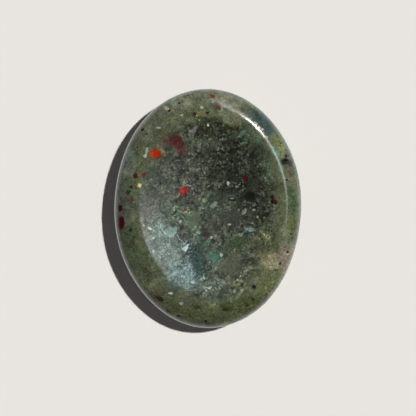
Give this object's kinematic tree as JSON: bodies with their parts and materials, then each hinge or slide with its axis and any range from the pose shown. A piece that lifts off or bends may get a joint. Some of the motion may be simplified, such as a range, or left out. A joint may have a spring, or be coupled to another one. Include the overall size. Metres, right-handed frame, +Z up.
{
  "type": "bloodstone worry stone",
  "caption": "Oval polished green stone with a shallow thumb hollow in its top face and a small flat spot underneath.",
  "frame": {"origin": "on the surface the stone rests on, under the middle of its outline", "axes": "+Z up, out of the thumb hollow; +Y along the longer axis, towards the slightly wider end; +X to the right when the hollow faces the viewer"},
  "size_m": [0.0352, 0.045, 0.007],
  "materials": {
    "bloodstone": "polished"
  },
  "bodies": {
    "root": {"worry_stone": "bloodstone"}
  },
  "joints": []
}
